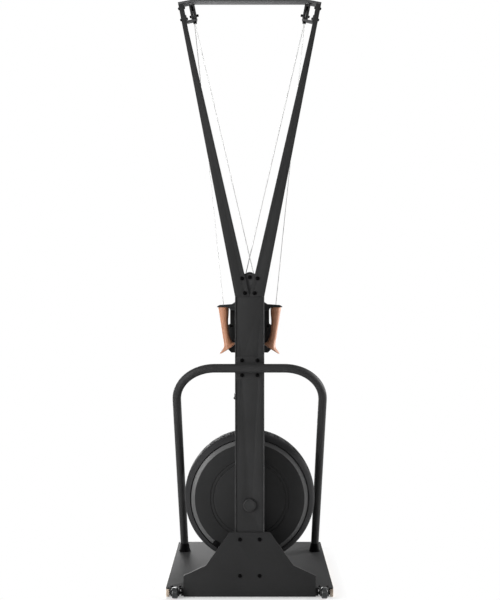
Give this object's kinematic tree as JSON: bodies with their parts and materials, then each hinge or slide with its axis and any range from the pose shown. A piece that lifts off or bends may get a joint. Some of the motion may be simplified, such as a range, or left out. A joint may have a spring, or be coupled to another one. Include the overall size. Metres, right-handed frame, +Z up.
{
  "type": "ski trainer machine",
  "caption": "Upright ski trainer: column on a flat base, V arms with a crossbar and swivelling pulleys, cord handles, fan flywheel housing, console and a slanted tube brace",
  "frame": {"origin": "on the floor under the middle of the machine's box", "axes": "+Z up, +X to the right seen from the rear of the machine, +Y from the rear towards the user"},
  "size_m": [0.615, 0.652, 2.195],
  "materials": {
    "deck_plate": "dark grey textured deck, worn",
    "black_frame": "satin black powder coat",
    "dull_plate": "dull grey brushed plate",
    "bright_steel": "turned bright steel",
    "black_bolts": "blackened steel fasteners",
    "black_plastic": "moulded black plastic, fine texture",
    "tan_grip": "soft tan brown grip",
    "tan_runner": "tan sealed edge",
    "dark_rubber": "dark rubber",
    "grey_cord": "braided light grey cord",
    "black_elastic": "black braided elastic cord",
    "screen": "blank dark display"
  },
  "bodies": {
    "frame": {"housing_rear": "black_plastic", "housing_front": "black_plastic", "brace_tube": "black_frame", "base_frame": "black_frame", "column_cover": "black_frame", "arm_joint_plate": "dull_plate", "crossbar": "dull_plate", "console_case": "black_plastic", "left_arm": "black_frame", "right_arm": "black_frame", "base_plate": "deck_plate", "rear_gusset": "black_frame", "left_drive_cord": "grey_cord", "right_drive_cord": "grey_cord", "left_pulley_bracket": "black_frame", "right_pulley_bracket": "black_frame", "left_return_cord": "black_elastic", "right_return_cord": "black_elastic", "column": "black_frame", "axle_cap": "black_plastic", "roller_pin": "black_bolts", "left_brace_foot": "black_plastic", "right_brace_foot": "black_plastic", "left_wheel_axle": "black_bolts", "right_wheel_axle": "black_bolts", "dock": "black_plastic", "rear_bearing": "bright_steel", "front_bearing": "bright_steel", "side_clip": "bright_steel", "upper_return_post": "bright_steel", "lower_return_post": "bright_steel", "left_runner": "tan_runner", "right_runner": "tan_runner", "console_screen": "screen"},
    "flywheel": {"axle": "bright_steel", "fan_wheel": "black_plastic"},
    "damper": {"damper_lever": "black_plastic"},
    "left_transport_wheel": {"left_wheel": "dark_rubber"},
    "right_transport_wheel": {"right_wheel": "dark_rubber"},
    "left_pulley_head": {"left_yoke": "black_frame", "left_sheave_bolt": "black_bolts", "left_sheave_cord": "grey_cord"},
    "left_pulley": {"left_sheave": "black_plastic"},
    "left_hanging_cord": {"left_handle_cord": "grey_cord"},
    "left_grip": {"left_handle": "tan_grip"},
    "left_drum_body": {"left_drum": "black_plastic"},
    "left_roller_body": {"left_guide_roller": "black_plastic"},
    "right_pulley_head": {"right_yoke": "black_frame", "right_sheave_bolt": "black_bolts", "right_sheave_cord": "grey_cord"},
    "right_pulley": {"right_sheave": "black_plastic"},
    "right_hanging_cord": {"right_handle_cord": "grey_cord"},
    "right_grip": {"right_handle": "tan_grip"},
    "right_drum_body": {"right_drum": "black_plastic"},
    "right_roller_body": {"right_guide_roller": "black_plastic"},
    "button_1": {"console_button_1": "dark_rubber"},
    "button_2": {"console_button_2": "dark_rubber"},
    "button_3": {"console_button_3": "dark_rubber"}
  },
  "joints": [
    {"name": "flywheel_spin", "type": "hinge", "parent": "frame", "child": "flywheel", "pos_m": [0, -0.167, 0.337], "axis": [0, -1, 0], "continuous": true},
    {"name": "damper_turn", "type": "hinge", "parent": "frame", "child": "damper", "pos_m": [0, -0.176, 0.337], "axis": [0, -1, 0], "range_deg": [0, 50]},
    {"name": "left_wheel_roll", "type": "hinge", "parent": "frame", "child": "left_transport_wheel", "pos_m": [-0.2724, -0.306, 0.0215], "axis": [1, 0, 0], "continuous": true},
    {"name": "right_wheel_roll", "type": "hinge", "parent": "frame", "child": "right_transport_wheel", "pos_m": [0.2724, -0.306, 0.0215], "axis": [1, 0, 0], "continuous": true},
    {"name": "left_swivel", "type": "hinge", "parent": "frame", "child": "left_pulley_head", "pos_m": [-0.20682, -0.272, 2.14107], "axis": [-0.1908, 0, 0.9816], "range_deg": [0, 14]},
    {"name": "left_pulley_spin", "type": "hinge", "parent": "left_pulley_head", "child": "left_pulley", "pos_m": [-0.20682, -0.2542, 2.14107], "axis": [-0.9816, 0, -0.1908], "range_deg": [0, 773.5]},
    {"name": "left_swing", "type": "hinge", "parent": "left_pulley_head", "child": "left_hanging_cord", "pos_m": [-0.20682, -0.2364, 2.14107], "axis": [0, 1, 0], "range_deg": [0, 14]},
    {"name": "left_pull", "type": "slide", "parent": "left_hanging_cord", "child": "left_grip", "axis": [0.099, 0.0721, -0.9925], "range_m": [0, 0.24], "stiffness_N_per_m": 30, "springref_m": -0.4, "deforming": ["left_handle_cord"]},
    {"name": "left_drum_spin", "type": "hinge", "parent": "frame", "child": "left_drum_body", "pos_m": [0, -0.252, 0.337], "axis": [0, -1, 0], "range_deg": [0, 433.4]},
    {"name": "left_roller_spin", "type": "hinge", "parent": "frame", "child": "left_roller_body", "pos_m": [0, -0.2661, 1.1735], "axis": [0, -1, 0], "range_deg": [0, 819.5]},
    {"name": "right_swivel", "type": "hinge", "parent": "frame", "child": "right_pulley_head", "pos_m": [0.20682, -0.272, 2.14107], "axis": [-0.1908, 0, -0.9816], "range_deg": [0, 14]},
    {"name": "right_pulley_spin", "type": "hinge", "parent": "right_pulley_head", "child": "right_pulley", "pos_m": [0.20682, -0.2542, 2.14107], "axis": [-0.9816, 0, 0.1908], "range_deg": [0, 773.5]},
    {"name": "right_swing", "type": "hinge", "parent": "right_pulley_head", "child": "right_hanging_cord", "pos_m": [0.20682, -0.2364, 2.14107], "axis": [0, -1, 0], "range_deg": [0, 14]},
    {"name": "right_pull", "type": "slide", "parent": "right_hanging_cord", "child": "right_grip", "axis": [-0.099, 0.0721, -0.9925], "range_m": [0, 0.24], "stiffness_N_per_m": 30, "springref_m": -0.4, "deforming": ["right_handle_cord"]},
    {"name": "right_drum_spin", "type": "hinge", "parent": "frame", "child": "right_drum_body", "pos_m": [0, -0.225, 0.337], "axis": [0, -1, 0], "range_deg": [0, 433.4]},
    {"name": "right_roller_spin", "type": "hinge", "parent": "frame", "child": "right_roller_body", "pos_m": [0, -0.2551, 1.1735], "axis": [0, 1, 0], "range_deg": [0, 819.5]},
    {"name": "button_1_press", "type": "slide", "parent": "frame", "child": "button_1", "axis": [0, -0.9773, -0.2119], "range_m": [0, 0.0015], "stiffness_N_per_m": 400, "springref_m": -0.001},
    {"name": "button_2_press", "type": "slide", "parent": "frame", "child": "button_2", "axis": [0, -0.9773, -0.2119], "range_m": [0, 0.0015], "stiffness_N_per_m": 400, "springref_m": -0.001},
    {"name": "button_3_press", "type": "slide", "parent": "frame", "child": "button_3", "axis": [0, -0.9773, -0.2119], "range_m": [0, 0.0015], "stiffness_N_per_m": 400, "springref_m": -0.001}
  ],
  "couplings": [
    {"joint": "left_swivel", "follows": "left_swing", "ratio": 1},
    {"joint": "left_pulley_spin", "follows": "left_pull", "rad_per_m": 56.18},
    {"joint": "left_drum_spin", "follows": "left_pull", "rad_per_m": 31.447},
    {"joint": "left_roller_spin", "follows": "left_pull", "rad_per_m": 59.524},
    {"joint": "right_swivel", "follows": "right_swing", "ratio": 1},
    {"joint": "right_pulley_spin", "follows": "right_pull", "rad_per_m": 56.18},
    {"joint": "right_drum_spin", "follows": "right_pull", "rad_per_m": 31.447},
    {"joint": "right_roller_spin", "follows": "right_pull", "rad_per_m": 59.524}
  ]
}
